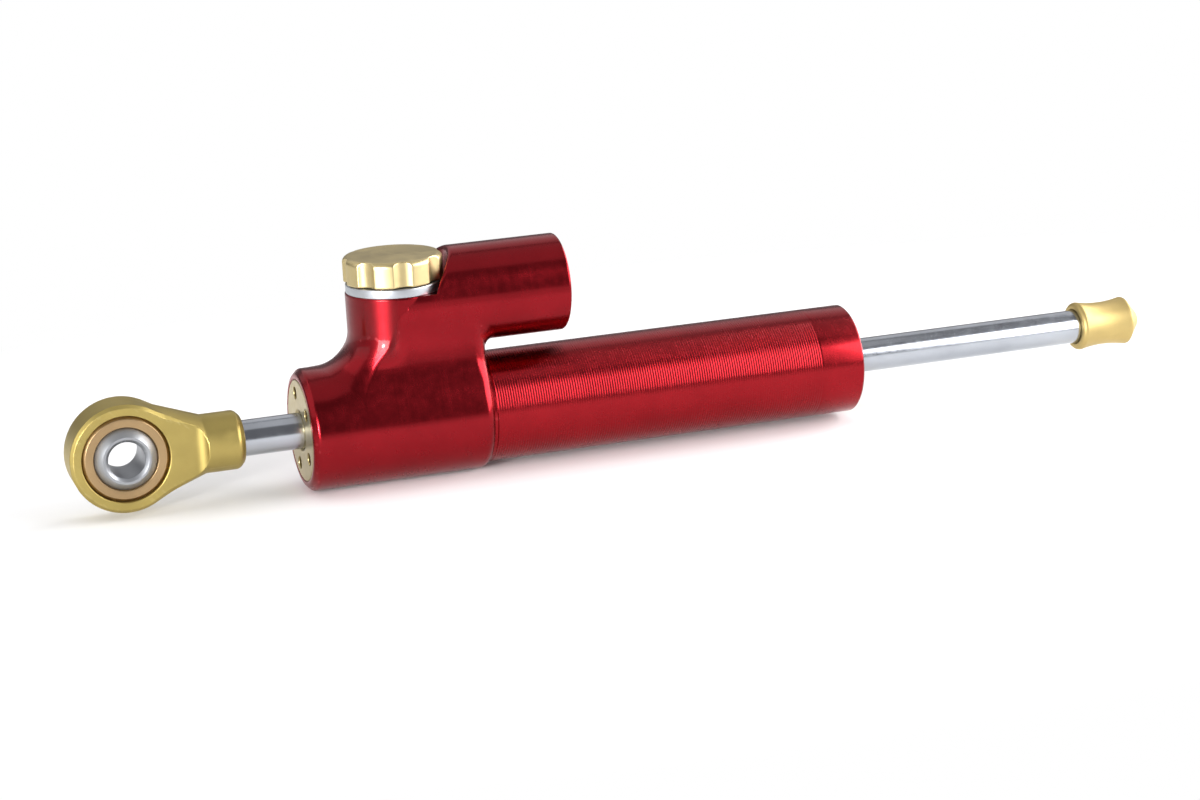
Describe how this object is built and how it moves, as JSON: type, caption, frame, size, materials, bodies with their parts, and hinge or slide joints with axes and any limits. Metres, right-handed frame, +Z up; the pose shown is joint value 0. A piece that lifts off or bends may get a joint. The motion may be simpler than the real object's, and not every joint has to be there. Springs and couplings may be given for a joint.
{
  "type": "motorcycle steering damper",
  "caption": "Linear hydraulic steering damper with a through rod, adjuster tower, side reservoir and spherical bearing eye, for clamping to a motorcycle frame.",
  "frame": {"origin": "on the rod's axis at the clamp's seat on the tube", "axes": "+X along the rod towards its cap, +Z up through the adjuster knob"},
  "size_m": [0.2599, 0.0272, 0.0512],
  "materials": {
    "red_anodised": "red anodised, turned and milled",
    "champagne_anodised": "pale gold anodised, turned",
    "gold_anodised": "gold anodised, satin",
    "gold_matt": "gold anodised, matt",
    "satin_silver": "clear anodised, satin",
    "bare_aluminium": "hard anodised, turned",
    "rod_chrome": "hard chromed, ground",
    "bearing_steel": "ground",
    "spring_steel": "drawn wire",
    "bearing_bronze": "turned bronze",
    "seal_rubber": "moulded",
    "guide_polymer": "filled PTFE"
  },
  "bodies": {
    "barrel": {"body": "red_anodised", "front_gland": "champagne_anodised", "front_gland_oring": "seal_rubber", "front_bush": "bearing_bronze", "front_rod_seal": "seal_rubber", "rear_gland": "champagne_anodised", "rear_gland_oring": "seal_rubber", "rear_bush": "bearing_bronze", "rear_rod_seal": "seal_rubber", "inner_cylinder": "bare_aluminium", "detent_plate": "satin_silver", "reservoir_spring": "spring_steel", "reservoir_plug": "champagne_anodised", "reservoir_plug_oring": "seal_rubber", "reservoir_clip": "spring_steel"},
    "damping_piston": {"piston": "bare_aluminium", "piston_ring": "guide_polymer"},
    "through_rod": {"rod": "rod_chrome", "piston_clips": "spring_steel", "rod_end": "gold_anodised", "bearing_race": "bearing_bronze", "rod_cap": "gold_matt"},
    "eye_ball": {"bearing_ball": "bearing_steel"},
    "adjuster": {"knob": "champagne_anodised", "detent_ball": "bearing_steel", "detent_spring": "spring_steel", "valve_spindle": "bearing_steel", "spindle_oring": "seal_rubber"},
    "floating_piston": {"reservoir_piston": "bare_aluminium", "reservoir_piston_oring": "seal_rubber"}
  },
  "joints": [
    {"name": "rod_slide", "type": "slide", "parent": "barrel", "child": "damping_piston", "axis": [1, 0, 0], "range_m": [-0.058, 0.011]},
    {"name": "rod_spin", "type": "hinge", "parent": "damping_piston", "child": "through_rod", "pos_m": [0, 0, 0], "axis": [1, 0, 0], "continuous": true},
    {"name": "ball_swivel", "type": "hinge", "parent": "through_rod", "child": "eye_ball", "pos_m": [-0.13125, 0, 0], "axis": [0, 1, 0], "continuous": true},
    {"name": "knob_turn", "type": "hinge", "parent": "barrel", "child": "adjuster", "pos_m": [-0.0686, 0, 0.0292], "axis": [0, 0, 1], "range_deg": [-150, 150]},
    {"name": "float_slide", "type": "slide", "parent": "barrel", "child": "floating_piston", "axis": [1, 0, 0], "range_m": [-0.002, 0.0035], "stiffness_N_per_m": 2000, "deforming": ["reservoir_spring"]}
  ]
}
